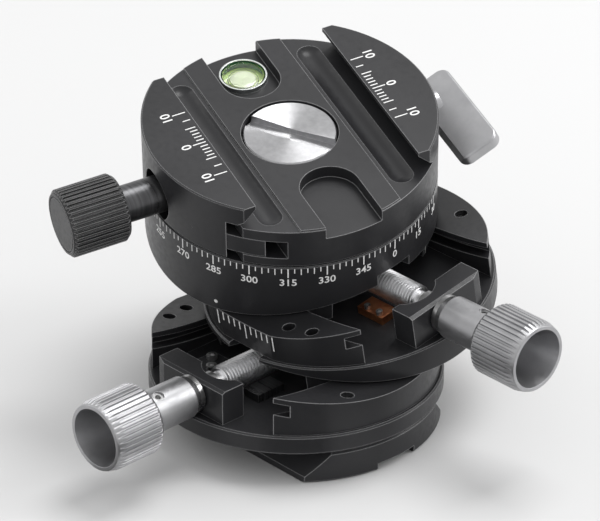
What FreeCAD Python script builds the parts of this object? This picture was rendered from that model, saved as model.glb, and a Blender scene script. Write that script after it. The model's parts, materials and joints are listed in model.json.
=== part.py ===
import FreeCAD, Part
import math
import os

# Two-axis geared levelling head with a panning dovetail clamp on top.
# +Z is up and the origin is the centre of the foot's underside.  The lower knob points to -Y
# and the upper knob to +X.  Every stage is drawn level, one above the other, and is then
# turned about its own tilt axis into the stored pose.

Vec = FreeCAD.Vector
X_AXIS = Vec(1, 0, 0)
Y_AXIS = Vec(0, 1, 0)
Z_AXIS = Vec(0, 0, 1)

# ---- driving dimensions, millimetres and degrees ----
DISC_R = 30.0              # flanges of both stages
RAIL_R = 29.2              # rails and brackets stand this far inside the flange edge
CLAMP_R = 29.85            # pan base, clamp disc and jaws
FOOT_R = 29.5
FOOT_HALF = 19.0           # 38 mm dovetail
FOOT_LIP = 1.4
FOOT_TOP = 6.4
PLATE_BOTTOM = 6.8
BASE_FLOOR = 10.8          # top of the base flange
STAGE_PITCH = 12.15        # from the base flange's top to the middle flange's top
MID_FLOOR = BASE_FLOOR + STAGE_PITCH
TILT_ARM = 97.2            # height of a tilt axis above its stage's floor
TILT_POSE = 10.0           # both tilts stand at the end of their travel
PAN_POSE = -18.5

# rails, runners and the arc slideway between them, as radii about the tilt axis
RAIL_IN = 17.9
RAIL_HEIGHT = 5.8
RAIL_TOP_R = 105.0
RAIL_FLAT = 28.3
LEFT_SEAT = 2.0            # under the rail screws' heads, above the floor
RIGHT_SEAT = 3.4
SCREW_HEAD = 1.6
GROOVE_R = (92.9, 95.4)
GROOVE_DEPTH = 2.5
SLIDE_GAP = 0.3
RUNNER_IN = 12.9
RUNNER_R = 95.6
RUNNER_END_R = 28.4
SADDLE_R = 90.95           # convex underside of a moving stage

# worm drive, heights above the stage floor
WORM_HEIGHT = 4.0
WORM_R = 3.0
WORM_ROOT_R = 2.55
WORM_PITCH = 0.75
WORM_START = -20.9
WORM_END = 6.0
JOURNAL_R = 2.0
BUSH_R = 2.7
BUSH_FLANGE_R = 3.9
TAIL_R = 1.5               # journal at the worm's inner end
END_BLOCK_R = 2.6
RUN_GAP = 0.05             # radial clearance of a running fit
BRACKET_Y = (-27.8, -22.2)
BRACKET_X = (-8.4, 11.2)
BRACKET_HEIGHT = 7.3
PAD_THICK = 1.7
SLEEVE_R = 4.4
SLEEVE_Y = (-41.4, -30.3)
KNOB_R = 7.4
KNOB_LENGTH = 12.2
FLUTES = 42
RACK_HALF_DEG = 13.0
RACK_R = (88.6, 91.6)

# pan base and clamp, heights in the level stack
RING_Z = 44.0
CLAMP_BOTTOM = 44.3
SIDE_BAND_Z = 53.3
PLATFORM_Z = 53.7
JAW_TOP = 58.2
PLATFORM_HALF = 10.9
LIP_HALF = 17.8
JAW_END_X = 21.8
SPLIT_FIXED = -20.6        # clamp body's face towards the moving jaw
SPLIT_JAW = -23.0          # moving jaw's face towards the clamp body
TONGUE_Y = -17.0
TONGUE_Z = (46.5, 50.8)
SLOT_Y = -13.3
CLAMP_AXIS_Z = 48.6
SCREW_R = 3.0
SCREW_END_Y = -12.4
NUT_R = 3.4
NUT_Y = -15.4              # nut's outer end, proud of the slot's floor
NUT_END_Y = -10.0          # inner end of the clamp nut, clear of the centre screw's head
HEAD_R = 9.5
SPINDLE_R = 7.4
WASHER_R = (16.1, 20.2)    # thrust washer between the pan base and the clamp
SLOT_ANGLE = 22.0          # screwdriver slot of the centre screw
SLOT_HALF = 1.65
LEVEL_X = -22.2
PIN_X = (-10.5, 10.5)      # guide pins of the moving jaw
PIN_R = 1.5
SPRING_R = 1.8
SHOE_R = 2.1
LOCK_R = 2.5
CLAMP_KNOB_Y = (-50.2, -37.8)

TILT1_Z = BASE_FLOOR + TILT_ARM
TILT2_Z = MID_FLOOR + TILT_ARM


# ---- placing ----
def turned(shape, point, axis, degrees):
    copy = shape.copy()
    copy.rotate(point, axis, degrees)
    return copy


def in_base(shape):
    return shape


def in_middle(shape):
    return turned(shape, Vec(0, 0, TILT1_Z), X_AXIS, TILT_POSE)


def in_carriage(shape):
    return in_middle(turned(shape, Vec(0, 0, TILT2_Z), Y_AXIS, TILT_POSE))


def in_clamp(shape):
    return in_carriage(turned(shape, Vec(0, 0, 0), Z_AXIS, PAN_POSE))


# ---- plain solids ----
def block(x0, x1, y0, y1, z0, z1):
    return Part.makeBox(x1 - x0, y1 - y0, z1 - z0, Vec(x0, y0, z0))


def disc(radius, z0, z1, x=0.0, y=0.0):
    return Part.makeCylinder(radius, z1 - z0, Vec(x, y, z0), Z_AXIS)


def rod(radius, start, end):
    along = end - start
    return Part.makeCylinder(radius, along.Length, start, along)


def rod_y(radius, y0, y1, z, x=0.0):
    return rod(radius, Vec(x, y0, z), Vec(x, y1, z))


def turned_profile(points, start, axis):
    """Solid of revolution: points are (distance along the axis, radius)."""
    wire = Part.makePolygon([Vec(0, r, a) for a, r in points] + [Vec(0, points[0][1], points[0][0])])
    solid = Part.Face(wire).revolve(Vec(0, 0, 0), Z_AXIS, 360)
    solid.Placement = FreeCAD.Placement(start, FreeCAD.Rotation(Z_AXIS, axis))
    return solid


def bevelled_disc(radius, z0, z1, bevel):
    points = [(z0, 0), (z0, radius - bevel), (z0 + bevel, radius), (z1 - bevel, radius),
              (z1, radius - bevel), (z1, 0)]
    return turned_profile(points, Vec(0, 0, 0), Z_AXIS)


def arc_band(axis_z, r_in, r_out, x0, x1):
    """Ring about an axis along X at height axis_z."""
    outer = Part.makeCylinder(r_out, x1 - x0, Vec(x0, 0, axis_z), X_AXIS)
    inner = Part.makeCylinder(r_in, x1 - x0 + 2, Vec(x0 - 1, 0, axis_z), X_AXIS)
    return outer.cut(inner)


def arc_solid(axis_z, radius, x0, x1):
    return Part.makeCylinder(radius, x1 - x0, Vec(x0, 0, axis_z), X_AXIS)


def fuse_all(shapes):
    result = shapes[0]
    for shape in shapes[1:]:
        result = result.fuse(shape)
    return result.removeSplitter()


def cut_all(shape, tools):
    for tool in tools:
        shape = shape.cut(tool)
    return shape


def save(name, shape):
    solids = shape.Solids
    out = solids[0] if len(solids) == 1 else Part.makeCompound(solids)
    print(name, "solids", len(solids), "volume", round(sum(s.Volume for s in solids), 1))
    out.exportStep("parts/%s.step" % name)


# ---- fasteners ----
def socket_screw(x, y, z_top, head_r, head_h, shank_r, length):
    """Socket-head screw pointing down, its head's top at z_top."""
    head = disc(head_r, z_top - head_h, z_top, x, y)
    shank = disc(shank_r, z_top - head_h - length, z_top - head_h, x, y)
    hexagon = Part.makePolygon([Vec(x + head_r * 0.52 * math.cos(math.radians(60 * i)),
                                    y + head_r * 0.52 * math.sin(math.radians(60 * i)),
                                    z_top - head_h * 0.6) for i in range(7)])
    socket = Part.Face(hexagon).extrude(Vec(0, 0, head_h))
    return head.fuse(shank).cut(socket)


def fluted_body(radius, depth, count, length, start, axis, profile):
    """Straight-fluted grip: a toothed outline along the axis, trimmed by a turned profile."""
    points = []
    for i in range(count):
        for share, r in ((-0.30, radius), (0.12, radius), (0.26, radius - depth), (0.56, radius - depth)):
            angle = 2 * math.pi * (i + share) / count
            points.append(Vec(r * math.cos(angle), r * math.sin(angle), 0))
    star = Part.Face(Part.makePolygon(points + [points[0]])).extrude(Vec(0, 0, length))
    grip = star.common(turned_profile(profile, Vec(0, 0, 0), Z_AXIS))
    grip.Placement = FreeCAD.Placement(start, FreeCAD.Rotation(Z_AXIS, axis))
    return grip


# ---- one geared stage, drawn with its knob towards -Y ----
def rail_holes(side):
    """Screws of one rail: two pairs in the left rail, two single ones in the right."""
    if side < 0:
        return ((-22.8, -14.0), (-23.9, -8.4), (-23.8, 9.0), (-23.8, 14.4))
    return ((24.4, -9.1), (24.0, 14.0))


def screw_seat(floor, side):
    return floor + (LEFT_SEAT if side < 0 else RIGHT_SEAT)


def rail(floor, side):
    axis_z = floor + TILT_ARM
    body = disc(RAIL_R, floor, floor + 12)
    body = body.common(block(RAIL_IN, 40, -40, 40, floor, floor + 12))
    if side < 0:
        body = body.mirror(Vec(0, 0, 0), X_AXIS)
        body = body.cut(block(-40, -RAIL_FLAT, -40, 40, floor, floor + 12))
    top_axis = floor + RAIL_HEIGHT + RAIL_TOP_R
    body = body.cut(arc_solid(top_axis, RAIL_TOP_R, -40, 40))
    reach = RAIL_IN + GROOVE_DEPTH
    x0, x1 = (RAIL_IN - 1, reach) if side > 0 else (-reach, -RAIL_IN + 1)
    body = body.cut(arc_band(axis_z, GROOVE_R[0], GROOVE_R[1], x0, x1))
    for x, y in rail_holes(side):
        body = body.cut(disc(1.35, screw_seat(floor, side), floor + 12, x, y))
        body = body.cut(disc(0.85, floor - 1, floor + 12, x, y))
    return body


def rail_screws(floor, side):
    seat = screw_seat(floor, side)
    length = seat - floor + 2.4
    return [socket_screw(x, y, seat + SCREW_HEAD, 1.3, SCREW_HEAD, 0.8, length) for x, y in rail_holes(side)]


def screw_drillings(floor):
    return [disc(0.8, floor - 2.4, floor + 1, x, y) for side in (-1, 1) for x, y in rail_holes(side)]


def bracket_screw_spots(thick):
    return ((thick * 9.4, -24.9), (-thick * 6.7, -24.9))


def bracket_screw_depth(thick):
    """Depth of the bracket screws' heads below the floor: the base flange is the thinner one."""
    return 3.7 if thick < 0 else 5.0


def bracket_screws(floor, thick):
    """Screws that come up through the flange into the bracket."""
    depth = bracket_screw_depth(thick)
    screws = []
    for x, y in bracket_screw_spots(thick):
        screw = socket_screw(0, 0, 0, 1.2, 1.3, 0.7, depth + 1.7)
        screw.rotate(Vec(0, 0, 0), X_AXIS, 180)
        screw.translate(Vec(x, y, floor - depth))
        screws.append(screw)
    return screws


def worm_bracket(floor, thick):
    """Bearing block of the worm.  Its rear is hollowed round the worm's first turns."""
    x0, x1 = sorted((thick * BRACKET_X[0], thick * BRACKET_X[1]))
    body = block(x0, x1, BRACKET_Y[0], BRACKET_Y[1], floor, floor + BRACKET_HEIGHT)
    body = body.common(disc(RAIL_R, floor, floor + 12))
    body = body.cut(disc(6.2, floor - 1, floor + 12, -thick * 1.4, BRACKET_Y[1] + 3.6))
    ramp = Part.makePolygon([Vec(0, BRACKET_Y[0] - 1, floor + BRACKET_HEIGHT),
                             Vec(0, BRACKET_Y[0] + 0.8, floor + BRACKET_HEIGHT + 0.01),
                             Vec(0, BRACKET_Y[0] - 1, floor + BRACKET_HEIGHT - 0.9),
                             Vec(0, BRACKET_Y[0] - 1, floor + BRACKET_HEIGHT)])
    bevel = Part.Face(ramp).extrude(Vec(40, 0, 0))
    bevel.translate(Vec(-20, 0, 0))
    body = body.cut(bevel)
    body = body.cut(rod_y(BUSH_R, -40, 0, floor + WORM_HEIGHT))
    for x, y in bracket_screw_spots(thick):
        body = body.cut(disc(0.75, floor - 1, floor + 3.2, x, y))
    return body


def worm_bush(floor):
    z = floor + WORM_HEIGHT
    points = [(0, JOURNAL_R + RUN_GAP), (0, BUSH_FLANGE_R), (1.0, BUSH_FLANGE_R), (1.0, BUSH_R),
              (6.4, BUSH_R), (6.4, JOURNAL_R + RUN_GAP)]
    return turned_profile(points, Vec(0, -29.2, z), Y_AXIS)


def end_block(floor):
    """Bearing of the worm's inner end, rounded on top to stay inside the rack's trough."""
    y0, y1 = WORM_END + 0.4, WORM_END + 4.4
    z = floor + WORM_HEIGHT
    body = block(-END_BLOCK_R, END_BLOCK_R, y0, y1, floor, z).fuse(rod_y(END_BLOCK_R, y0, y1, z))
    return body.removeSplitter().cut(rod_y(TAIL_R + RUN_GAP, y0 - 1, y1 - 1, z))


def worm_shaft(floor):
    """Worm, its two journals and the tail that the knob's sleeve is clamped on."""
    points = [(-44.0, 0), (-44.0, JOURNAL_R), (WORM_START, JOURNAL_R), (WORM_START, WORM_ROOT_R)]
    turns = int((WORM_END - WORM_START) / WORM_PITCH)
    for i in range(turns):
        y = WORM_START + i * WORM_PITCH
        points += [(y + 0.16, WORM_ROOT_R), (y + 0.33, WORM_R), (y + 0.42, WORM_R), (y + 0.59, WORM_ROOT_R)]
    last = WORM_START + turns * WORM_PITCH
    points += [(last, WORM_ROOT_R), (last, TAIL_R), (WORM_END + 3.1, TAIL_R), (WORM_END + 3.1, 0)]
    return turned_profile(points, Vec(0, 0, floor + WORM_HEIGHT), Y_AXIS)


def sleeve(floor):
    points = [(SLEEVE_Y[0], JOURNAL_R), (SLEEVE_Y[0], SLEEVE_R), (SLEEVE_Y[1] - 0.3, SLEEVE_R),
              (SLEEVE_Y[1], SLEEVE_R - 0.3), (SLEEVE_Y[1], JOURNAL_R)]
    body = turned_profile(points, Vec(0, 0, floor + WORM_HEIGHT), Y_AXIS)
    return body.cut(set_screw_hole(floor))


def set_screw_line(floor, inner, outer, radius):
    y = SLEEVE_Y[0] + 3.0
    z = floor + WORM_HEIGHT
    lean = math.radians(20)
    away = Vec(math.sin(lean), 0, math.cos(lean))
    centre = Vec(0, y, z)
    return rod(radius, centre + away * inner, centre + away * outer)


def set_screw_hole(floor):
    return set_screw_line(floor, 1.9, 6.0, 1.2)


def set_screw(floor):
    body = set_screw_line(floor, 2.0, SLEEVE_R - 0.5, 1.2)
    return body.cut(set_screw_line(floor, SLEEVE_R - 1.6, SLEEVE_R + 1, 0.6))


def knob_profile():
    """(distance from the hollow face, radius) of a drive knob's trimmed and hollowed body."""
    return [(0, 6.1), (0, 6.85), (0.5, 7.05), (2.6, KNOB_R + 0.2), (10.8, KNOB_R + 0.2),
            (KNOB_LENGTH, 6.3), (KNOB_LENGTH, JOURNAL_R), (9.6, JOURNAL_R), (9.6, 2.4), (8.4, 4.0)]


def drive_knob(floor):
    start = Vec(0, SLEEVE_Y[0] - KNOB_LENGTH, floor + WORM_HEIGHT)
    return fluted_body(KNOB_R, 0.42, FLUTES, KNOB_LENGTH, start, Y_AXIS, knob_profile())


def slide_pad(floor, thick):
    pad = block(2.7, 6.9, -16.8, -9.8, floor, floor + PAD_THICK)
    return pad if thick < 0 else pad.mirror(Vec(0, 0, 0), X_AXIS)


def spacer_pad(floor):
    return block(-12.4, -5.6, -18.4, -11.2, floor, floor + PAD_THICK)


def pad_screws(floor, thick):
    """Low-headed screws: two on the lower stage's spacer, two small ones on the upper slide pad."""
    spots, radius = ((-10.6, -13.4), (-7.6, -16.2)), 1.15
    if thick > 0:
        spots, radius = ((-6.1, -12.0), (-6.1, -15.4)), 0.7
    top = floor + PAD_THICK
    return [disc(radius, top + 0.05, top + 0.85, x, y).cut(
        disc(radius * 0.48, top + 0.4, top + 2, x, y)) for x, y in spots]


def stage_drive(floor, thick, place, prefix):
    """All loose pieces of one stage's rails and worm drive."""
    save(prefix + "_worm_bracket", place(worm_bracket(floor, thick)))
    save(prefix + "_worm_bush", place(worm_bush(floor)))
    save(prefix + "_worm_end_block", place(end_block(floor)))
    save(prefix + "_worm_shaft", place(worm_shaft(floor)))
    save(prefix + "_knob_sleeve", place(sleeve(floor)))
    save(prefix + "_set_screw", place(set_screw(floor)))
    save(prefix + "_knob", place(drive_knob(floor)))
    save(prefix + "_slide_pad", place(slide_pad(floor, thick)))
    small = pad_screws(floor, thick) + bracket_screws(floor, thick)
    save(prefix + "_drive_screws", place(Part.makeCompound(small)))
    save(prefix + "_rail_left", place(rail(floor, -1)))
    save(prefix + "_rail_right", place(rail(floor, 1)))
    screws = rail_screws(floor, -1) + rail_screws(floor, 1)
    save(prefix + "_rail_screws", place(Part.makeCompound(screws)))


def stage_drillings(floor, thick):
    drillings = screw_drillings(floor)
    depth = bracket_screw_depth(thick)
    for x, y in bracket_screw_spots(thick):
        drillings.append(disc(1.3, floor - depth - 3, floor - depth + 1.3, x, y))
        drillings.append(disc(0.7, floor - depth, floor + 1, x, y))
    return drillings


# ---- moving stages ride on ribs in the rails' arc grooves ----
def runners(axis_z):
    shapes = []
    for side in (-1, 1):
        low, high = sorted((side * RUNNER_IN, side * (RAIL_IN - SLIDE_GAP)))
        bar = arc_band(axis_z, SADDLE_R - 2, RUNNER_R, low, high)
        low, high = sorted((side * (RAIL_IN - SLIDE_GAP - 0.5), side * (RAIL_IN + GROOVE_DEPTH - SLIDE_GAP)))
        rib = arc_band(axis_z, GROOVE_R[0] + SLIDE_GAP, GROOVE_R[1] - SLIDE_GAP, low, high)
        shapes.append(bar.fuse(rib).common(disc(RUNNER_END_R, axis_z - 110, axis_z - 60)))
    return shapes


def saddle(axis_z, radius, top, bevel):
    """Disc whose underside is the convex arc of the slideway, with its two runners."""
    body = bevelled_disc(radius, axis_z - 100, top, bevel)
    body = body.common(arc_solid(axis_z, SADDLE_R, -40, 40))
    channel = arc_band(axis_z, RACK_R[0], 120, -4.4, 4.4)
    return fuse_all([body] + runners(axis_z)).cut(channel)


def rack(axis_z):
    """Bronze worm-wheel segment let into the underside of a moving stage."""
    body = arc_band(axis_z, RACK_R[0] + 0.02, RACK_R[1], -4.2, 4.2)
    wedge = Part.makePolygon([Vec(-10, 0, axis_z),
                              Vec(-10, -120 * math.tan(math.radians(RACK_HALF_DEG)), axis_z - 120),
                              Vec(-10, 120 * math.tan(math.radians(RACK_HALF_DEG)), axis_z - 120),
                              Vec(-10, 0, axis_z)])
    body = body.common(Part.Face(wedge).extrude(Vec(20, 0, 0)))
    trough_r = TILT_ARM - WORM_HEIGHT
    body = body.cut(Part.makeTorus(trough_r, WORM_R + 0.15, Vec(0, 0, axis_z), X_AXIS))
    step = math.degrees(WORM_PITCH / trough_r)
    count = int(RACK_HALF_DEG / step)
    slots = []
    for i in range(-count, count + 1):
        slot = block(-2.2, 2.2, -0.17, 0.17, axis_z - 90.6, axis_z - 89.0)
        slot.rotate(Vec(0, 0, axis_z), X_AXIS, (i + 0.5) * step)
        slots.append(slot)
    return body.cut(Part.makeCompound(slots))


def quarter_turn(shape):
    return turned(shape, Vec(0, 0, 0), Z_AXIS, 90)


def middle_place(shape):
    """Second stage: the same design, a quarter turn round, on the lower tilt."""
    return in_middle(quarter_turn(shape))


# ---- base ----
def dovetail_foot():
    slope = FOOT_TOP - FOOT_LIP
    half_top = FOOT_HALF - slope * 0.95
    outline = [(-FOOT_HALF, 0), (FOOT_HALF, 0), (FOOT_HALF, FOOT_LIP), (half_top, FOOT_TOP),
               (-half_top, FOOT_TOP), (-FOOT_HALF, FOOT_LIP)]
    points = [Vec(-40, y, z) for y, z in outline]
    body = Part.Face(Part.makePolygon(points + [points[0]])).extrude(Vec(80, 0, 0))
    body = body.common(bevelled_disc(FOOT_R, 0, FOOT_TOP, 0.4))
    spigot = disc(13.8, FOOT_TOP - 1, PLATE_BOTTOM)
    body = body.fuse(spigot).removeSplitter()
    recess = disc(15.5, -1, 1.0).cut(disc(9.5, -2, 2.0))
    end_slot = block(16.5, 40, -5.0, 5.0, -1, 1.6)
    body = cut_all(body, [recess, end_slot, disc(6.5, -1, 20)])
    for x, y in foot_screw_spots():
        body = body.cut(disc(2.6, -1, 3.0, x, y)).cut(disc(1.55, -1, 20, x, y))
    return body


def foot_screw_spots():
    return [(12.5 * math.cos(math.radians(a)), 12.5 * math.sin(math.radians(a))) for a in (45, 135, 225, 315)]


def foot_screws():
    shapes = []
    for x, y in foot_screw_spots():
        screw = socket_screw(0, 0, 0, 2.5, 2.4, 1.5, 5.6)
        screw.rotate(Vec(0, 0, 0), X_AXIS, 180)
        screw.translate(Vec(x, y, 0.6))
        shapes.append(screw)
    return Part.makeCompound(shapes)


def tripod_bush():
    points = [(0, 4.76), (0, 6.5), (8.6, 6.5), (8.6, 0), (8.0, 0), (8.0, 4.76)]
    return turned_profile(points, Vec(0, 0, 0), Z_AXIS)


def base_plate():
    body = bevelled_disc(DISC_R, PLATE_BOTTOM, BASE_FLOOR, 0.35)
    body = body.cut(disc(6.5, PLATE_BOTTOM - 1, 8.6))
    for x, y in foot_screw_spots():
        body = body.cut(disc(1.5, PLATE_BOTTOM - 1, 8.6, x, y))
    return cut_all(body, stage_drillings(BASE_FLOOR, -1))


# ---- middle stage and pan base ----
def middle_stage():
    body = saddle(TILT1_Z, DISC_R, MID_FLOOR, 0.3)
    drillings = [quarter_turn(hole) for hole in stage_drillings(MID_FLOOR, 1)]
    return cut_all(body, drillings)


def pan_base():
    body = quarter_turn(saddle(TILT2_Z, CLAMP_R, RING_Z, 0.25))
    body = body.cut(disc(SPINDLE_R, 36.0, 60))
    body = body.cut(disc(WASHER_R[1] + 0.2, RING_Z - 0.9, 60).cut(disc(WASHER_R[0] - 0.3, 30, 60)))
    return body


def pan_spindle():
    """Turned post pressed into the pan base, with a V groove for the pan lock."""
    points = [(36.1, 0), (36.1, SPINDLE_R), (46.9, SPINDLE_R), (48.6, SPINDLE_R - 1.7), (50.3, SPINDLE_R),
              (50.75, SPINDLE_R), (50.75, 3.0), (40.0, 3.0), (40.0, 0)]
    return turned_profile(points, Vec(0, 0, 0), Z_AXIS)


def thrust_washer():
    return disc(WASHER_R[1], RING_Z - 0.9, RING_Z + 0.95).cut(disc(WASHER_R[0], 40, 50))


def centre_screw():
    """Large slotted retaining screw whose dished head fills the platform's middle."""
    points = [(42.0, 0), (42.0, 3.0), (51.1, 3.0), (51.1, HEAD_R), (53.3, HEAD_R), (53.6, HEAD_R - 0.3),
              (53.0, 0)]
    body = turned_profile(points, Vec(0, 0, 0), Z_AXIS)
    slot = block(-12, 12, -SLOT_HALF, SLOT_HALF, 52.0, 60)
    return body.cut(turned(slot, Vec(0, 0, 0), Z_AXIS, SLOT_ANGLE))


def retaining_washer():
    return disc(8.9, 50.75, 51.1).cut(disc(3.05, 40, 60))


# ---- panning clamp, drawn with its channel along X ----
def lip_cut(side, from_y, z0, z1):
    """Wedge that undercuts a jaw's lip at 45 degrees."""
    depth = z1 - z0
    points = [(from_y, z1 + 0.2), (from_y, z0), (LIP_HALF + depth, z0), (LIP_HALF - 0.2, z1 + 0.2)]
    wire = [Vec(-60, side * y, z) for y, z in points]
    return Part.Face(Part.makePolygon(wire + [wire[0]])).extrude(Vec(120, 0, 0))


def channel_cut(side):
    """Space above the side band: open at the top, widening under the lip."""
    upright = block(-60, 60, *sorted((0, side * LIP_HALF)), SIDE_BAND_Z, 80)
    lip_bottom = JAW_TOP - 0.9
    return upright.fuse(lip_cut(side, 0, SIDE_BAND_Z, lip_bottom))


def trough(side):
    """Relief trough beside a jaw, cut with a ball-ended tool."""
    radius = 3.7
    z = SIDE_BAND_Z + 2.7
    y = side * 14.4
    reach = 20.9
    bar = rod(radius, Vec(-reach, y, z), Vec(reach, y, z))
    ends = [Part.makeSphere(radius, Vec(x, y, z)) for x in (-reach, reach)]
    return [bar] + ends


def u_recess(side, floor_z):
    width = 6.1
    start = 18.5
    shape = disc(width, floor_z, 80, side * start, 0)
    x0, x1 = sorted((side * start, side * 60))
    return shape.fuse(block(x0, x1, -width, width, floor_z, 80))


def clamp_body():
    body = bevelled_disc(CLAMP_R, CLAMP_BOTTOM, JAW_TOP, 0.25)
    body = body.cut(block(-60, 60, -60, SPLIT_FIXED, 0, 80))
    tools = [block(-60, 60, -60, 0, SIDE_BAND_Z, 80), channel_cut(1)]
    for side in (-1, 1):
        tools.append(block(*sorted((side * JAW_END_X, side * 60)), 10, 60, SIDE_BAND_Z, 80))
    body = cut_all(body, tools)
    strip = disc(CLAMP_R - 0.2, SIDE_BAND_Z, PLATFORM_Z)
    strip = strip.common(block(-60, 60, -PLATFORM_HALF, PLATFORM_HALF, 0, 80))
    body = body.fuse(strip).removeSplitter()
    tools = trough(1) + trough(-1)
    tools += [u_recess(1, 51.0), u_recess(-1, 51.0)]
    tools += [disc(HEAD_R + 0.35, 50.45, 80), disc(SPINDLE_R + RUN_GAP, 0, 80)]
    tools.append(disc(WASHER_R[1] + 0.2, 40, RING_Z + 1.0).cut(disc(WASHER_R[0] - 0.3, 30, 60)))
    tools.append(block(-60, 60, SPLIT_FIXED - 1, SLOT_Y, *TONGUE_Z))
    tools.append(rod_y(NUT_R, SPLIT_FIXED - 1, NUT_END_Y, CLAMP_AXIS_Z))
    tools += [rod_y(PIN_R, SPLIT_FIXED - 1, -9.0, CLAMP_AXIS_Z, x) for x in PIN_X]
    tools += [rod_y(SHOE_R + RUN_GAP, 5, 10, CLAMP_AXIS_Z), rod_y(LOCK_R + RUN_GAP, 9.5, 60, CLAMP_AXIS_Z)]
    tools.append(disc(5.0, 47.4, 60, LEVEL_X, 0))
    return cut_all(body, tools)


def moving_jaw():
    body = bevelled_disc(CLAMP_R, CLAMP_BOTTOM, JAW_TOP, 0.25)
    lower = block(-60, 60, SPLIT_JAW, 60, 0, SIDE_BAND_Z + 0.5)
    tools = [lower, block(-60, 60, -LIP_HALF, 60, 0, 80)]
    tools.append(lip_cut(-1, 0, SIDE_BAND_Z, JAW_TOP - 0.9))
    for side in (-1, 1):
        tools.append(block(*sorted((side * JAW_END_X, side * 60)), -LIP_HALF - 4.5, 60, SIDE_BAND_Z, 80))
    body = cut_all(body, tools)
    tongue = disc(CLAMP_R - 0.15, TONGUE_Z[0] + 0.15, TONGUE_Z[1] - 0.15)
    tongue = tongue.common(block(-60, 60, SPLIT_JAW - 0.5, TONGUE_Y, 0, 80))
    tongue = tongue.cut(block(-4.6, 4.6, NUT_Y - 2.8, 0, 0, 80))
    body = body.fuse(tongue).removeSplitter()
    tools = [rod_y(SCREW_R + RUN_GAP, -60, 0, CLAMP_AXIS_Z), rod_y(5.4, -60, -27.3, CLAMP_AXIS_Z)]
    tools += [rod_y(PIN_R + RUN_GAP, -27.2, 0, CLAMP_AXIS_Z, x) for x in PIN_X]
    return cut_all(body, tools)


def guide_pins():
    return Part.makeCompound([rod_y(PIN_R, -24.6, -9.0, CLAMP_AXIS_Z, x) for x in PIN_X])


def jaw_springs():
    coils = []
    for x in PIN_X:
        for y in (SLOT_Y - 0.3, SLOT_Y - 0.85):
            coils.append(Part.makeTorus(SPRING_R, 0.2, Vec(x, y, CLAMP_AXIS_Z), Y_AXIS))
    return Part.makeCompound(coils)


def clamp_screw():
    points = [(-48.6, 0), (-48.6, 2.6), (CLAMP_KNOB_Y[1], 2.6), (CLAMP_KNOB_Y[1], SCREW_R),
              (SCREW_END_Y, SCREW_R), (SCREW_END_Y, 0)]
    return turned_profile(points, Vec(0, 0, CLAMP_AXIS_Z), Y_AXIS)


def clamp_nut():
    """Threaded bronze insert of the clamp body, drawn with a plain bore."""
    nut = rod_y(NUT_R, NUT_Y, NUT_END_Y, CLAMP_AXIS_Z)
    return nut.cut(rod_y(SCREW_R + RUN_GAP, -30, 0, CLAMP_AXIS_Z))


def clamp_collar():
    points = [(CLAMP_KNOB_Y[1], 3.0), (CLAMP_KNOB_Y[1], 3.85), (-27.9, 3.85), (-27.6, 3.6), (-27.6, 3.0)]
    return turned_profile(points, Vec(0, 0, CLAMP_AXIS_Z), Y_AXIS)


def clamp_knob():
    length = CLAMP_KNOB_Y[1] - CLAMP_KNOB_Y[0]
    profile = [(0, 0), (0, 6.3), (0.5, 6.8), (1.0, 7.4), (length - 1.2, 7.4), (length, 6.4), (length, 2.6),
               (1.6, 2.6), (1.6, 0)]
    start = Vec(0, CLAMP_KNOB_Y[0], CLAMP_AXIS_Z)
    grip = fluted_body(7.05, 0.5, 40, length, start, Y_AXIS, profile)
    ring = turned_profile([(-1, 5.5), (-1, 5.9), (0.25, 5.9), (0.25, 5.5)], start, Y_AXIS)
    return grip.cut(ring)


def pan_lock_screw():
    return rod_y(LOCK_R, 9.7, 31.6, CLAMP_AXIS_Z)


def pan_lock_shoe():
    """Bronze shoe whose nose the pan lock presses into the spindle's groove."""
    points = [(6.75, 0), (6.75, 0.9), (7.75, 0.9), (7.75, SHOE_R), (9.4, SHOE_R), (9.4, 0)]
    return turned_profile(points, Vec(0, 0, CLAMP_AXIS_Z), Y_AXIS)


def pan_lever():
    """Flat lever, bent up from its hub, whose long side lies along the channel."""
    reach, width, thick = 18.0, 9.4, 2.8
    hub = rod_y(3.2, 30.3, 33.2, CLAMP_AXIS_Z)
    plate = block(-6.2, reach, 0, width, 0, thick)
    upright = [e for e in plate.Edges if abs(e.tangentAt(e.FirstParameter).z) > 0.9]
    plate = plate.makeFillet(2.2, upright)
    plate = plate.makeFillet(0.5, [e for e in plate.Edges if abs(e.BoundBox.ZLength) < 0.01])
    plate.rotate(Vec(0, 0, 0), X_AXIS, 25.0)
    plate.translate(Vec(0, 30.6, CLAMP_AXIS_Z - 2.6))
    body = hub.fuse(plate).removeSplitter()
    return body.cut(rod_y(LOCK_R, 20, 31.6, CLAMP_AXIS_Z)).cut(block(-60, 60, 0, 30.3, 0, 80))


def level_case():
    return disc(4.95, 47.45, 52.1, LEVEL_X, 0).cut(disc(4.6, 48.1, 60, LEVEL_X, 0))


def level_vial():
    return disc(4.55, 48.1, 52.05, LEVEL_X, 0)


def build_base():
    save("dovetail_foot", dovetail_foot())
    save("tripod_bush", tripod_bush())
    save("foot_screws", foot_screws())
    save("base_plate", base_plate())
    save("lower_spacer_pad", spacer_pad(BASE_FLOOR))
    stage_drive(BASE_FLOOR, -1, in_base, "lower")


def build_middle():
    save("middle_stage", in_middle(middle_stage()))
    save("lower_worm_rack", in_middle(rack(TILT1_Z)))
    stage_drive(MID_FLOOR, 1, middle_place, "upper")


def build_top():
    save("pan_base", in_carriage(pan_base()))
    save("upper_worm_rack", in_carriage(quarter_turn(rack(TILT2_Z))))
    save("pan_spindle", in_carriage(pan_spindle()))
    save("thrust_washer", in_carriage(thrust_washer()))
    save("centre_screw", in_carriage(centre_screw()))
    save("retaining_washer", in_carriage(retaining_washer()))


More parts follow.
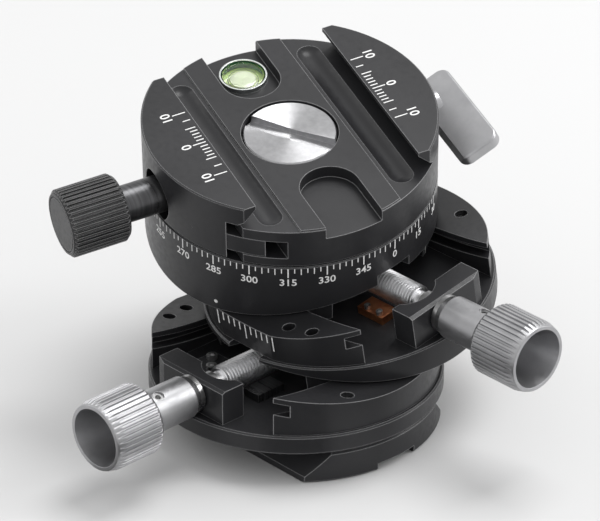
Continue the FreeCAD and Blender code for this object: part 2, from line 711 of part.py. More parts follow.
def build_clamp():
    save("clamp_body", in_clamp(clamp_body()))
    save("moving_jaw", in_clamp(moving_jaw()))
    save("guide_pins", in_clamp(guide_pins()))
    save("jaw_springs", in_clamp(jaw_springs()))
    save("clamp_screw", in_clamp(clamp_screw()))
    save("clamp_nut", in_clamp(clamp_nut()))
    save("clamp_collar", in_clamp(clamp_collar()))
    save("clamp_knob", in_clamp(clamp_knob()))
    save("pan_lock_screw", in_clamp(pan_lock_screw()))
    save("pan_lock_shoe", in_clamp(pan_lock_shoe()))
    save("pan_lever", in_clamp(pan_lever()))
    save("level_case", in_clamp(level_case()))
    save("level_vial", in_clamp(level_vial()))


os.makedirs("parts", exist_ok=True)
build_base()
build_middle()
build_top()
build_clamp()
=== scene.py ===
import json
import math

import bmesh
import bpy
from mathutils import Matrix, Vector


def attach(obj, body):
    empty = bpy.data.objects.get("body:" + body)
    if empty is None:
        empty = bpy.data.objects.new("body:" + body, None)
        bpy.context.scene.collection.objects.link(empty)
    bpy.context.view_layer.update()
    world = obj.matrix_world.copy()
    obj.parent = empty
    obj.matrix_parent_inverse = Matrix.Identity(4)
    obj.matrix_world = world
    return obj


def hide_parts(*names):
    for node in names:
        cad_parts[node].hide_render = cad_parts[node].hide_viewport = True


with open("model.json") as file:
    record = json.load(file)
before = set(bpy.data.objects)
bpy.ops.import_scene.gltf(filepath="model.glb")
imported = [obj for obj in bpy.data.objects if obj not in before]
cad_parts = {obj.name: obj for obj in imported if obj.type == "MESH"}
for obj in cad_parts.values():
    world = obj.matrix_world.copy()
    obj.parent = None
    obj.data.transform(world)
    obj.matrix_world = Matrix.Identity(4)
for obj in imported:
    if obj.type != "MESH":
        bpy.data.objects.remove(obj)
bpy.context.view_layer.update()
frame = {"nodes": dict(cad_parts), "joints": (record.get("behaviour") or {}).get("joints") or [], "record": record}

# Looks of a two-axis geared levelling head.  Lengths are millimetres in a stage's own level frame,
# and place() turns them into metres in the shared frame.  Shader and studio lengths are metres.
MM = 0.001

# ---- view ----
VIEW_AZIMUTH = 46.76
VIEW_ELEVATION = 28.41
VIEW_ROLL = -0.1
VIEW_DISTANCE = 0.8003
VIEW_TARGET = Vector((0.0048, -0.0034, 0.0373))
LENS = 242.0
SENSOR = 36.0
CLIP_NEAR, CLIP_FAR = 0.01, 20.0

# ---- heights and radii of the stages ----
UPPER_TILT_Z = 120.15      # the upper tilt axis, in the middle stage's frame
PAN_POINT_Z = 50.0         # the pan joint's point, in the carriage's frame
RING_R = 29.85             # the pan base's printed ring
RING_Z = 44.0
RUNNER_END_R = 28.4        # end face of the upper runner, round the pan axis
JAW_TOP = 58.2
LIP = 17.8                 # inner edge of both jaws
FLAT = 28.3                # flat face of a stage's left rail
BASE_FLOOR = 10.8
MID_FLOOR = 22.95
RAIL_HEIGHT = 5.8
RAIL_TOP_R = 105.0

# ---- printed marks ----
INK_DEPTH = 0.02           # how far they stand proud
PAN_TICK_STEP = 2.5        # degrees
PAN_TICK_DROP = 0.3        # from the ring's top edge to the ticks
PAN_NUMBER_DROP = 3.6      # from the ticks' top to the numbers' middle
PAN_NUMBER_HEIGHT = 1.75
JAW_TICKS = {0: 2.8, 1: 1.6, 2: 1.6, 3: 1.6, 4: 1.6, 5: 2.2, 7.5: 1.6, 10: 2.8}   # length at each distance
JAW_TICK_WIDTH = 0.26
JAW_TICK_GAP = 0.7         # from the jaw's lip to the ticks
JAW_NUMBER_GAP = 4.9
JAW_NUMBER_HEIGHT = 2.1
TILT_TICK_STEP = 1.604     # one degree of tilt at the rail's face
TILT_TICK_LENGTHS = (3.4, 1.9)
TILT_TICK_DROP = 0.15
TILT_TICK_WIDTH = 0.3
DOT_X = 8.1                # the index dot, on the ring
DOT_Z = 31.5
DOT_R = 0.42
LINE_ANGLE = 30.2          # the index line, in degrees round the pan axis
LINE_Z = (27.6, 31.8)
LINE_WIDTH = 0.9           # in degrees

# ---- bubble level ----
LEVEL_X = -22.2
AXIS_R = 0.02              # turned shapes end on a ring this small
LATHE_STEPS = 48
VIAL_R = 4.5
SPIRIT_Z = (48.15, 50.1)
SPIRIT_RISE = 0.15
WALL_R = (4.44, 4.56)
WALL_FOOT_Z = 50.12
WALL_TOP_Z = (51.35, 51.75)
BUBBLE_R = 2.7
BUBBLE_Z = 50.7
BUBBLE_HALF = 0.3
BUBBLE_FOOT_Z = 50.3
TARGET_R = 3.15
TARGET_Z = 50.6
TARGET_SECTION = (0.07, 0.05)
WINDOW_Z = (51.45, 51.6)
WINDOW_RISE = 0.42

# ---- studio ----
FLOOR_HALF = 3.0
CARD_HEIGHT = 0.0004
CARD_STEPS = 24
CARDS = {                  # inner radius, outer radius, start and end in degrees
    "card_near": (0.038, 0.056, -60.0, -26.0),
    "card_far": (0.056, 0.19, -100.0, 14.0),
}
LIGHT_TARGET = Vector((0, 0, 0.03))
LIGHTS = {                 # watts, size, place
    "overhead": (5.5, (0.5, 0.5), (0.0, 0.33, 0.96)),
    "left_strip": (0.8, (0.25, 0.8), (-0.75, -0.25, 0.35)),
    "right_strip": (3.5, (0.3, 0.8), (0.55, 0.65, 0.40)),
}
WORLD_TONE = 0.879
WORLD_STRENGTH = 0.96

# ---- shading ----
NOISE_SPAN = (0.3, 0.7)    # nearly all of a noise's values lie in this span
TOOL_MARK_GAP = 0.00022
LEVEL_FADE_R = 0.0048

JOINTS = {joint["name"]: joint for joint in frame["joints"]}


# ---- the stages' frames, from the joints ----
def joint_axis(name):
    return Vector(JOINTS[name]["axis"]).normalized()


def joint_point(name):
    return Vector(JOINTS[name]["pos_m"])


def placement(origin, x_axis, y_axis, z_axis):
    matrix = Matrix((x_axis, y_axis, z_axis)).transposed().to_4x4()
    matrix.translation = origin
    return matrix


def stage_frames():
    lower = joint_axis("lower_tilt")
    upper = joint_axis("upper_tilt")
    pan = joint_axis("pan")
    across = -joint_axis("jaw_slide")
    middle_up = lower.cross(upper)
    middle_origin = joint_point("upper_tilt") - middle_up * UPPER_TILT_Z * MM
    top_origin = joint_point("pan") - pan * PAN_POINT_Z * MM
    return {
        "base": Matrix.Identity(4),
        "middle": placement(middle_origin, lower, upper, middle_up),
        "carriage": placement(top_origin, upper.cross(pan), upper, pan),
        "clamp": placement(top_origin, across.cross(pan), across, pan),
    }


FRAMES = stage_frames()


def place(stage, x, y, z):
    """Point given in millimetres in a stage's frame, in metres in the shared frame."""
    return FRAMES[stage] @ (Vector((x, y, z)) * MM)


# ---- node helpers ----
class Shader:
    """A material's node tree with short calls for the few node kinds used here."""

    def __init__(self, name):
        self.material = bpy.data.materials.new(name)
        self.material.use_nodes = True
        self.tree = self.material.node_tree
        self.surface = self.tree.nodes["Principled BSDF"]

    def node(self, kind, **values):
        made = self.tree.nodes.new(kind)
        for key, value in values.items():
            setattr(made, key, value)
        return made

    def link(self, source, target):
        self.tree.links.new(source, target)

    def put(self, **sockets):
        """Uniform values, set on the shader's own sockets."""
        for name, value in sockets.items():
            self.surface.inputs[name.replace("_", " ")].default_value = value

    def coordinates(self):
        return self.node("ShaderNodeTexCoord").outputs["Object"]

    def noise(self, scale, detail=2.0, stretch=None):
        made = self.node("ShaderNodeTexNoise")
        made.inputs["Scale"].default_value = scale
        made.inputs["Detail"].default_value = detail
        source = self.coordinates()
        if stretch is not None:
            mapping = self.node("ShaderNodeMapping")
            mapping.inputs["Scale"].default_value = stretch
            self.link(source, mapping.inputs["Vector"])
            source = mapping.outputs["Vector"]
        self.link(source, made.inputs["Vector"])
        return made.outputs["Fac"]

    def ramp(self, source, stops):
        made = self.node("ShaderNodeValToRGB")
        elements = made.color_ramp.elements
        while len(elements) < len(stops):
            elements.new(0.5)
        for element, (position, colour) in zip(elements, stops):
            element.position = position
            element.color = (*colour, 1.0)
        self.link(source, made.inputs["Fac"])
        return made.outputs["Color"]

    def spread(self, source, span, low, high):
        """The source's span stretched to run from low to high."""
        made = self.node("ShaderNodeMapRange")
        made.inputs["From Min"].default_value, made.inputs["From Max"].default_value = span
        made.inputs["To Min"].default_value = low
        made.inputs["To Max"].default_value = high
        self.link(source, made.inputs["Value"])
        return made.outputs["Result"]

    def calculate(self, operation, first, second=0.0):
        made = self.node("ShaderNodeMath", operation=operation)
        for socket, value in zip(made.inputs, (first, second)):
            if isinstance(value, (int, float)):
                socket.default_value = value
            else:
                self.link(value, socket)
        return made.outputs["Value"]

    def mix(self, share, first, colour):
        """From the first colour, a socket, to a plain one."""
        made = self.node("ShaderNodeMix", data_type="RGBA")
        self.link(share, made.inputs["Factor"])
        self.link(first, made.inputs["A"])
        made.inputs["B"].default_value = (*colour, 1.0)
        return made.outputs["Result"]

    def from_axis(self, point, direction):
        """Distance of the shaded point from a line, in metres."""
        shift = self.node("ShaderNodeVectorMath", operation="SUBTRACT")
        self.link(self.coordinates(), shift.inputs[0])
        shift.inputs[1].default_value = point
        cross = self.node("ShaderNodeVectorMath", operation="CROSS_PRODUCT")
        self.link(shift.outputs["Vector"], cross.inputs[0])
        cross.inputs[1].default_value = direction
        length = self.node("ShaderNodeVectorMath", operation="LENGTH")
        self.link(cross.outputs["Vector"], length.inputs[0])
        return length.outputs["Value"]

    def edge_normal(self, radius):
        """Normal of edges rounded by the given radius."""
        made = self.node("ShaderNodeBevel", samples=6)
        made.inputs["Radius"].default_value = radius
        return made.outputs["Normal"]

    def edge_mask(self, radius, sharp, flat):
        """1 where a sharp edge turns the surface, 0 on open faces."""
        dot = self.node("ShaderNodeVectorMath", operation="DOT_PRODUCT")
        self.link(self.edge_normal(radius), dot.inputs[0])
        self.link(self.node("ShaderNodeNewGeometry").outputs["Normal"], dot.inputs[1])
        return self.spread(dot.outputs["Value"], (flat, sharp), 0.0, 1.0)

    def mottle(self, scale, dark, light, detail=3.0):
        """Colour that wanders between two tones."""
        low, high = NOISE_SPAN
        return self.ramp(self.noise(scale, detail), [(low, dark), (high, light)])

    def colour(self, source):
        self.link(source, self.surface.inputs["Base Color"])

    def rough(self, source, low, high):
        """Roughness between low and high, after the source."""
        self.link(self.spread(source, NOISE_SPAN, low, high), self.surface.inputs["Roughness"])

    def bump(self, height, strength, depth, edge=None):
        """Relief on the surface, over edges rounded by the given radius."""
        made = self.node("ShaderNodeBump")
        made.inputs["Strength"].default_value = strength
        made.inputs["Distance"].default_value = depth
        self.link(height, made.inputs["Height"])
        if edge is not None:
            self.link(self.edge_normal(edge), made.inputs["Normal"])
        self.link(made.outputs["Normal"], self.surface.inputs["Normal"])


# ---- materials, one function each ----
def black_anodised():
    """Bead-blasted, black-dyed aluminium; its edges get a painted highlight, a lighter colour mixed in along them.
    """
    shader = Shader("black_anodised")
    shader.put(Specular_IOR_Level=0.33)
    tone = shader.mottle(scale=70.0, dark=(0.017, 0.017, 0.0185), light=(0.023, 0.023, 0.025))
    # Painted highlight: edges are mixed towards light grey, standing in for light caught on the chamfers.
    painted_edge_highlight = shader.edge_mask(radius=0.00028, sharp=0.90, flat=0.995)
    shader.colour(shader.mix(painted_edge_highlight, tone, (0.27, 0.27, 0.275)))
    shader.rough(shader.noise(900.0), low=0.30, high=0.42)
    shader.bump(shader.noise(6500.0), strength=0.10, depth=0.00004, edge=0.00018)
    return shader.material


def silver_aluminium():
    """Clear-anodised aluminium of the knobs, sleeves and lever."""
    shader = Shader("silver_aluminium")
    shader.put(Metallic=0.92)
    shader.colour(shader.mottle(scale=240.0, dark=(0.37, 0.37, 0.38), light=(0.44, 0.44, 0.45)))
    shader.rough(shader.noise(1500.0), low=0.30, high=0.42)
    shader.bump(shader.noise(7000.0), strength=0.12, depth=0.00004, edge=0.00015)
    return shader.material


def turned_aluminium():
    """Faced screw head: fine circular tool marks round its own axis."""
    shader = Shader("turned_aluminium")
    shader.put(Metallic=1.0, Roughness=0.30, Anisotropic=0.9, Anisotropic_Rotation=0.25)
    radius = shader.from_axis(place("clamp", 0, 0, JAW_TOP), joint_axis("pan"))
    turns = shader.calculate("MULTIPLY", radius, 2 * math.pi / TOOL_MARK_GAP)
    rings = shader.calculate("SINE", turns)
    marked = shader.calculate("ADD", shader.calculate("MULTIPLY", rings, 0.15), shader.noise(900.0))
    shader.colour(shader.ramp(marked, [(0.3, (0.44, 0.44, 0.45)), (0.75, (0.54, 0.54, 0.55))]))
    tangent = shader.node("ShaderNodeTangent", direction_type="RADIAL", axis="Z")
    shader.link(tangent.outputs["Tangent"], shader.surface.inputs["Tangent"])
    shader.bump(rings, strength=0.10, depth=0.00001, edge=0.00012)
    return shader.material


def ground_steel(name, dark, light, roughness, scale):
    """Bare steel with a fine ground surface."""
    shader = Shader(name)
    shader.put(Metallic=1.0)
    shader.colour(shader.mottle(scale, dark, light))
    shader.rough(shader.noise(scale * 4), low=roughness, high=roughness + 0.12)
    shader.bump(shader.noise(6000.0), strength=0.05, depth=0.00001)
    return shader.material


def blackened_steel():
    """Turned and blackened collar with fine circular marks."""
    shader = Shader("black_steel")
    shader.put(Metallic=0.9)
    along = shader.noise(30.0, stretch=(1.0, 60.0, 1.0))
    low, high = NOISE_SPAN
    shader.colour(shader.ramp(along, [(low, (0.06, 0.06, 0.062)), (high, (0.13, 0.13, 0.135))]))
    shader.rough(along, low=0.25, high=0.36)
    shader.bump(along, strength=0.08, depth=0.00004, edge=0.00015)
    return shader.material


def bronze():
    """Machined bearing bronze with a dull red-brown tone."""
    shader = Shader("bronze")
    shader.put(Metallic=0.85)
    shader.colour(shader.mottle(scale=500.0, dark=(0.30, 0.10, 0.045), light=(0.46, 0.19, 0.08)))
    shader.rough(shader.noise(1200.0), low=0.32, high=0.48)
    shader.bump(shader.noise(3000.0), strength=0.15, depth=0.00005, edge=0.0001)
    return shader.material


def black_knob():
    """Fluted black knob; the ridges get a painted highlight, a lighter colour mixed in along them."""
    shader = Shader("black_knob")
    shader.put(Metallic=0.1, Specular_IOR_Level=0.12)
    tone = shader.mottle(scale=300.0, dark=(0.032, 0.032, 0.033), light=(0.048, 0.048, 0.049))
    # Painted highlight: ridge edges are mixed towards light grey, standing in for light caught on them.
    painted_edge_highlight = shader.edge_mask(radius=0.00018, sharp=0.85, flat=0.99)
    shader.colour(shader.mix(painted_edge_highlight, tone, (0.34, 0.34, 0.34)))
    shader.rough(shader.noise(1500.0), low=0.28, high=0.38)
    shader.bump(shader.noise(6500.0), strength=0.10, depth=0.00004, edge=0.00012)
    return shader.material


def white_polymer():
    """Waxy white bearing plastic."""
    shader = Shader("white_polymer")
    shader.put(Subsurface_Weight=0.1, Subsurface_Scale=0.001)
    shader.colour(shader.mottle(scale=400.0, dark=(0.72, 0.72, 0.70), light=(0.82, 0.82, 0.79)))
    shader.rough(shader.noise(900.0), low=0.4, high=0.5)
    shader.bump(shader.noise(3000.0), strength=0.05, depth=0.00005)
    return shader.material


def level_metal():
    """Bright ring round the bubble level."""
    shader = Shader("level_metal")
    shader.put(Metallic=1.0)
    shader.colour(shader.mottle(scale=700.0, dark=(0.72, 0.76, 0.74), light=(0.85, 0.88, 0.86), detail=2.0))
    shader.rough(shader.noise(1500.0), low=0.16, high=0.26)
    shader.bump(shader.noise(5000.0), strength=0.05, depth=0.00003, edge=0.0001)
    return shader.material


def level_liquid():
    """Green spirit over a pale bottom: cream in the middle, yellow-green outside."""
    shader = Shader("level_liquid")
    shader.put(Coat_Weight=1.0, Coat_Roughness=0.03, Roughness=0.12)
    radius = shader.from_axis(place("clamp", LEVEL_X, 0, 0), joint_axis("pan"))
    cloudy = shader.calculate("MULTIPLY", shader.noise(500.0), 0.0005)
    share = shader.spread(shader.calculate("ADD", radius, cloudy), (0.0, LEVEL_FADE_R), 0.0, 1.0)
    stops = [(0.50, (0.88, 0.90, 0.60)), (0.75, (0.80, 0.92, 0.42)), (1.0, (0.55, 0.74, 0.22))]
    shader.colour(shader.ramp(share, stops))
    return shader.material


def level_wall_shade():
    """Dark green sleeve above the spirit: the spirit's green, darkened as painted shade of the vial's far wall."""
    shader = Shader("level_wall")
    shader.put(Roughness=0.15, Coat_Weight=0.6, Coat_Roughness=0.05)
    # Painted shade: far darker than the spirit's own green, for the shaded far wall of the vial.
    shader.colour(shader.mottle(scale=250.0, dark=(0.008, 0.05, 0.014), light=(0.03, 0.16, 0.06), detail=2.0))
    return shader.material


def level_bubble_shade():
    """Pale, glossy air bubble."""
    shader = Shader("level_bubble")
    shader.put(Roughness=0.08, Coat_Weight=1.0, Coat_Roughness=0.02)
    shader.colour(shader.mottle(scale=350.0, dark=(0.86, 0.90, 0.66), light=(0.92, 0.93, 0.74), detail=2.0))
    return shader.material


def level_glass():
    """Clear moulded window of the level."""
    shader = Shader("level_glass")
    shader.put(Transmission_Weight=1.0, IOR=1.3, Base_Color=(0.96, 1.0, 0.96, 1.0))
    shader.rough(shader.noise(900.0), low=0.0, high=0.02)
    return shader.material


def white_ink():
    """Filled engraving: slightly uneven white paint."""
    shader = Shader("white_ink")
    shader.colour(shader.mottle(scale=1500.0, dark=(0.70, 0.70, 0.70), light=(0.85, 0.85, 0.84), detail=2.0))
    shader.rough(shader.noise(2500.0), low=0.5, high=0.65)
    shader.bump(shader.noise(5000.0), strength=0.1, depth=0.00003)
    return shader.material


def floor_paper():
    """Plain pale studio paper."""
    shader = Shader("floor_paper")
    shader.put(Roughness=0.9, Specular_IOR_Level=0.1)
    tone = shader.mottle(scale=3.0, dark=(0.622, 0.622, 0.623), light=(0.630, 0.630, 0.631), detail=2.0)
    shader.colour(tone)
    return shader.material


def card_black():
    """Black card for reflections."""
    shader = Shader("card_black")
    shader.colour(shader.mottle(scale=5.0, dark=(0.01, 0.01, 0.01), light=(0.02, 0.02, 0.02), detail=2.0))
    return shader.material


def dress_cad_nodes():
    """Every CAD node gets the shader of its material slot."""
    made = {
        "black_anodised": black_anodised(),
        "silver_aluminium": silver_aluminium(),
        "turned_aluminium": turned_aluminium(),
        "worm_steel": ground_steel("worm_steel", (0.86, 0.86, 0.87), (0.94, 0.94, 0.95), 0.30, 120.0),
        "screw_steel": ground_steel("screw_steel", (0.46, 0.46, 0.46), (0.54, 0.54, 0.54), 0.26, 150.0),
        "black_steel": blackened_steel(),
        "bronze": bronze(),
        "black_knob": black_knob(),
        "white_polymer": white_polymer(),
        "level_case": level_metal(),
        "level_glass": level_glass(),
    }
    for part in frame["record"]["subparts"]:
        node = frame["nodes"][part["node"]]
        node.data.materials.clear()
        node.data.materials.append(made[part["material_slot"]])
    return made


# ---- new pieces ----
def add_piece(name, points, faces, material, body, slot):
    mesh = bpy.data.meshes.new(name)
    mesh.from_pydata(points, [], faces)
    shell = bmesh.new()
    shell.from_mesh(mesh)
    bmesh.ops.remove_doubles(shell, verts=shell.verts, dist=1e-7)
    bmesh.ops.recalc_face_normals(shell, faces=shell.faces)
    shell.to_mesh(mesh)
    shell.free()
    mesh.materials.append(material)
    piece = bpy.data.objects.new(name, mesh)
    bpy.context.scene.collection.objects.link(piece)
    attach(piece, body)
    return piece


class Marks:
    """Printed marks gathered into one mesh; surface(u, v, w) gives a point, w standing off it."""

    def __init__(self, surface):
        self.surface = surface
        self.points = []
        self.faces = []

    def slab(self, outline):
        """Closed slab over an outline of (u, v) points."""
        first = len(self.points)
        count = len(outline)
        for w in (-INK_DEPTH, INK_DEPTH):
            self.points.extend(self.surface(u, v, w) for u, v in outline)
        self.faces.append([first + i for i in range(count)])
        self.faces.append([first + count + i for i in range(count)])
        for i in range(count):
            j = (i + 1) % count
            self.faces.append([first + i, first + j, first + count + j, first + count + i])

    def bar(self, u, v0, v1, width):
        """Thin slab from v0 to v1 along v, centred on u."""
        left, right = u - width / 2, u + width / 2
        self.slab([(left, v0), (right, v0), (right, v1), (left, v1)])

    def dot(self, u, v, radius, sides=16):
        turns = [2 * math.pi * i / sides for i in range(sides)]
        self.slab([(u + radius * math.cos(turn), v + radius * math.sin(turn)) for turn in turns])

    def text(self, words, u, v, height):
        """Characters centred on (u, v), drawn with the built-in font."""
        curve = bpy.data.curves.new("characters", "FONT")
        curve.body = words
        curve.extrude = 0.5
        curve.offset = 0.012
        curve.resolution_u = 3
        holder = bpy.data.objects.new("characters", curve)
        mesh = bpy.data.meshes.new_from_object(holder)
        xs = [vertex.co.x for vertex in mesh.vertices]
        ys = [vertex.co.y for vertex in mesh.vertices]
        middle_x = (min(xs) + max(xs)) / 2
        middle_y = (min(ys) + max(ys)) / 2
        scale = height / (max(ys) - min(ys))
        first = len(self.points)
        for vertex in mesh.vertices:
            self.points.append(self.surface(u + (vertex.co.x - middle_x) * scale,
                                            v + (vertex.co.y - middle_y) * scale,
                                            vertex.co.z * 2 * INK_DEPTH))
        for face in mesh.polygons:
            self.faces.append([first + i for i in face.vertices])
        bpy.data.objects.remove(holder)
        bpy.data.curves.remove(curve)
        bpy.data.meshes.remove(mesh)

    def add(self, name, body, ink):
        add_piece(name, self.points, self.faces, ink, body, "black_anodised")


def ring_surface(u, v, w):
    """u runs counter-clockwise round the pan base, v is height."""
    angle = u / RING_R
    return place("carriage", (RING_R + w) * math.cos(angle), (RING_R + w) * math.sin(angle), v)


def pan_tick(degrees):
    """Length and width of the degree ring's tick at an angle."""
    if degrees % 15 == 0:
        return 2.3, 0.26
    if degrees % 5 == 0:
        return 1.6, 0.2
    return 1.15, 0.2


def pan_scale(ink):
    """Degree ring: ticks every 2.5 degrees and a number every 15."""
    marks = Marks(ring_surface)
    top = RING_Z - PAN_TICK_DROP
    for i in range(int(360 / PAN_TICK_STEP)):
        degrees = i * PAN_TICK_STEP
        u = math.radians(degrees) * RING_R
        length, width = pan_tick(degrees)
        if degrees % 15 == 0:
            marks.text(str(int(degrees)), u, top - PAN_NUMBER_DROP, PAN_NUMBER_HEIGHT)
        marks.bar(u, top - length, top, width)
    marks.add("pan_scale", "carriage", ink)


def jaw_scale(name, body, side, ink):
    """Centring scale of one jaw, ten millimetres each way, numbers outward."""
    marks = Marks(lambda u, v, w: place("clamp", side * u, side * v, JAW_TOP + w))
    for distance, length in JAW_TICKS.items():
        for u in {distance, -distance}:
            marks.bar(u, LIP + JAW_TICK_GAP, LIP + JAW_TICK_GAP + length, JAW_TICK_WIDTH)
    for u in (-10, 0, 10):
        marks.text(str(abs(u)), u, LIP + JAW_NUMBER_GAP, JAW_NUMBER_HEIGHT)
    marks.add(name, body, ink)


def rail_top(floor, u):
    """Height of a rail's curved top at a distance along it."""
    return floor + RAIL_HEIGHT + RAIL_TOP_R - math.sqrt(RAIL_TOP_R ** 2 - u ** 2)


def tilt_scale(name, body, floor, surface, ink):
    """Eleven ticks, one degree apart, on the flat face of a left rail."""
    marks = Marks(surface)
    long_tick, short_tick = TILT_TICK_LENGTHS
    for i in range(-5, 6):
        u = i * TILT_TICK_STEP
        length = long_tick if i % 5 == 0 else short_tick
        top = rail_top(floor, u) - TILT_TICK_DROP
        marks.bar(u, top - length, top, TILT_TICK_WIDTH)
    marks.add(name, body, ink)


def middle_rail_face(u, v, w):
    return place("middle", u, -FLAT - w, v)


def base_rail_face(u, v, w):
    return place("base", -FLAT - w, -u, v)


def runner_end(u, v, w):
    """End face of the upper runner beyond the worm: u in degrees round the pan, v is height."""
    angle = math.radians(u)
    return place("carriage", (RUNNER_END_R + w) * math.cos(angle), (RUNNER_END_R + w) * math.sin(angle), v)


def index_marks(ink):
    """Dot and line that the tilt scales are read against."""
    dot = Marks(ring_surface)
    dot.dot(-math.acos(DOT_X / RING_R) * RING_R, DOT_Z, DOT_R)
    dot.add("tilt_index_dot", "carriage", ink)
    line = Marks(runner_end)
    line.bar(LINE_ANGLE, *LINE_Z, LINE_WIDTH)
    line.add("tilt_index_line", "carriage", ink)


def lathe(profile, capped=True):
    """Turned shape round the level's axis; profile is a row of (radius, height)."""
    points, faces = [], []
    for radius, height in profile:
        for i in range(LATHE_STEPS):
            angle = 2 * math.pi * i / LATHE_STEPS
            x = LEVEL_X + radius * math.cos(angle)
            points.append(place("clamp", x, radius * math.sin(angle), height))
    for ring in range(len(profile) - 1):
        near = ring * LATHE_STEPS
        far = near + LATHE_STEPS
        for i in range(LATHE_STEPS):
            j = (i + 1) % LATHE_STEPS
            faces.append([near + i, near + j, far + j, far + i])
    if capped:
        faces.append(list(range(LATHE_STEPS)))
        faces.append(list(range(len(points) - LATHE_STEPS, len(points))))
    return points, faces


def dome(radius, low, rise, steps):
    """Profile of a shallow dome of that rim radius, from its rim to near its centre."""
    ball = (radius ** 2 + rise ** 2) / (2 * rise)
    reach = math.asin(radius / ball)
    profile = []
    for i in range(steps + 1):
        angle = reach * (1 - i / steps)
        profile.append((max(ball * math.sin(angle), AXIS_R), low + rise - ball * (1 - math.cos(angle))))
    return profile


def spirit_profile():
    floor, edge = SPIRIT_Z
    return [(AXIS_R, floor), (VIAL_R, floor), (VIAL_R, edge)] + dome(VIAL_R, edge, SPIRIT_RISE, 4)


def wall_profile():
    """Closed section of a thin sleeve with a sloping top."""
    inner, outer = WALL_R
    inner_top, outer_top = WALL_TOP_Z
    return [(inner, WALL_FOOT_Z), (inner, inner_top), (outer, outer_top), (outer, WALL_FOOT_Z),
            (inner, WALL_FOOT_Z)]


def bubble_profile():
    """Flattened round bubble."""
    turns = [math.radians(degrees) for degrees in range(-75, 90, 15)]
    side = [(BUBBLE_R * math.cos(turn), BUBBLE_Z + BUBBLE_HALF * math.sin(turn)) for turn in turns]
    return [(AXIS_R, BUBBLE_FOOT_Z)] + side + [(AXIS_R, BUBBLE_Z + BUBBLE_HALF)]


def target_profile(sides=12):
    """Closed section of the target ring."""
    half_width, half_height = TARGET_SECTION
    turns = [2 * math.pi * i / sides for i in range(sides)]
    section = [(TARGET_R + half_width * math.cos(turn), TARGET_Z + half_height * math.sin(turn))
               for turn in turns]
    return section + section[:1]


def window_profile():
    """Thin domed window: its inner face from the middle out, then its outer face back in."""
    inner, outer = WINDOW_Z
    return dome(VIAL_R, inner, WINDOW_RISE, 8)[::-1] + dome(VIAL_R, outer, WINDOW_RISE, 8)


def bubble_level(made):
    """Vial of the level: green spirit, its dark wall, bubble, target ring and a domed window."""
    spirit = add_piece("level_spirit", *lathe(spirit_profile()), level_liquid(), "clamp", "level_glass")
    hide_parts("level_vial")
    add_piece("level_wall", *lathe(wall_profile(), capped=False), level_wall_shade(), "clamp", "level_glass")
    add_piece("level_bubble", *lathe(bubble_profile()), level_bubble_shade(), "clamp", "level_glass")
    add_piece("level_target_ring", *lathe(target_profile(), capped=False), made["black_anodised"],
              "clamp", "black_anodised")
    window = add_piece("level_window", *lathe(window_profile()), made["level_glass"], "clamp", "level_glass")
    for face in window.data.polygons:
        face.use_smooth = True


# ---- stage, lights and camera ----
def add_stage_mesh(name, points, faces, material):
    mesh = bpy.data.meshes.new(name)
    mesh.from_pydata(points, [], faces)
    mesh.materials.append(material)
    thing = bpy.data.objects.new(name, mesh)
    bpy.context.scene.collection.objects.link(thing)
    return thing


def add_floor():
    corners = [(x * FLOOR_HALF, y * FLOOR_HALF, 0) for x, y in ((-1, -1), (1, -1), (1, 1), (-1, 1))]
    add_stage_mesh("floor", corners, [(0, 1, 2, 3)], floor_paper())


def sector(inner, outer, start, end):
    """Flat ring sector, from angle start to end in degrees, as points and faces."""
    points = []
    for i in range(CARD_STEPS + 1):
        angle = math.radians(start + (end - start) * i / CARD_STEPS)
        for radius in (inner, outer):
            points.append((radius * math.cos(angle), radius * math.sin(angle), CARD_HEIGHT))
    faces = [(2 * i, 2 * i + 1, 2 * i + 3, 2 * i + 2) for i in range(CARD_STEPS)]
    return points, faces


def add_dark_cards():
    """Black cards on the floor before the object, seen only in its reflections."""
    black = card_black()
    for name, shape in CARDS.items():
        card = add_stage_mesh(name, *sector(*shape), black)
        card.visible_camera = False
        card.visible_diffuse = False
        card.visible_transmission = False
        card.visible_shadow = False


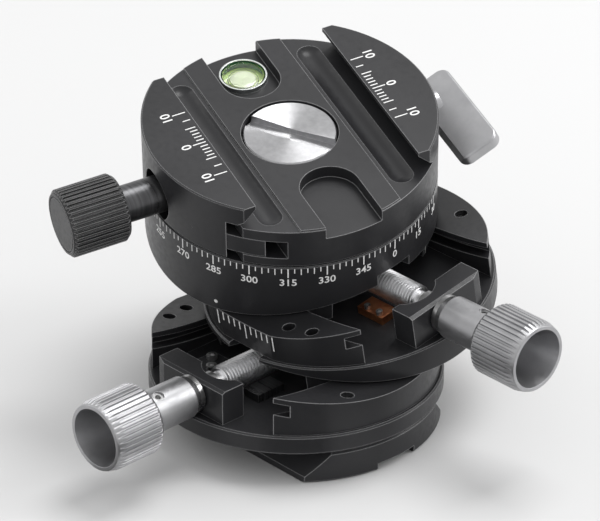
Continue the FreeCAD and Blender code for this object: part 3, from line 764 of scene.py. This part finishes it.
def add_area_light(name, power, size, location):
    light = bpy.data.lights.new(name, "AREA")
    light.shape = "RECTANGLE"
    light.size, light.size_y = size
    light.energy = power
    lamp = bpy.data.objects.new(name, light)
    lamp.location = location
    lamp.rotation_mode = "QUATERNION"
    lamp.rotation_quaternion = (LIGHT_TARGET - Vector(location)).to_track_quat("-Z", "Y")
    bpy.context.scene.collection.objects.link(lamp)


def add_lights():
    for name, settings in LIGHTS.items():
        add_area_light(name, *settings)
    world = bpy.data.worlds.new("studio")
    world.use_nodes = True
    background = world.node_tree.nodes["Background"]
    background.inputs["Color"].default_value = (WORLD_TONE, WORLD_TONE, WORLD_TONE, 1.0)
    background.inputs["Strength"].default_value = WORLD_STRENGTH
    bpy.context.scene.world = world


def add_camera():
    azimuth = math.radians(VIEW_AZIMUTH)
    elevation = math.radians(VIEW_ELEVATION)
    back = Vector((math.sin(azimuth) * math.cos(elevation), -math.cos(azimuth) * math.cos(elevation),
                   math.sin(elevation)))
    data = bpy.data.cameras.new("camera")
    data.lens = LENS
    data.sensor_width = SENSOR
    data.sensor_fit = "HORIZONTAL"
    data.clip_start = CLIP_NEAR
    data.clip_end = CLIP_FAR
    camera = bpy.data.objects.new("camera", data)
    camera.rotation_mode = "QUATERNION"
    facing = (-back).to_track_quat("-Z", "Y").to_matrix()
    roll = Matrix.Rotation(math.radians(VIEW_ROLL), 3, "Z")
    camera.rotation_quaternion = (facing @ roll).to_quaternion()
    camera.location = VIEW_TARGET + back * VIEW_DISTANCE
    bpy.context.scene.collection.objects.link(camera)
    bpy.context.scene.camera = camera


def build():
    add_camera()
    add_lights()
    add_floor()
    add_dark_cards()
    made = dress_cad_nodes()
    ink = white_ink()
    pan_scale(ink)
    jaw_scale("fixed_jaw_scale", "clamp", 1, ink)
    jaw_scale("moving_jaw_scale", "jaw", -1, ink)
    tilt_scale("upper_tilt_scale", "middle", MID_FLOOR, middle_rail_face, ink)
    tilt_scale("lower_tilt_scale", "base", BASE_FLOOR, base_rail_face, ink)
    index_marks(ink)
    bubble_level(made)
    bpy.context.scene.view_settings.view_transform = "Standard"


build()
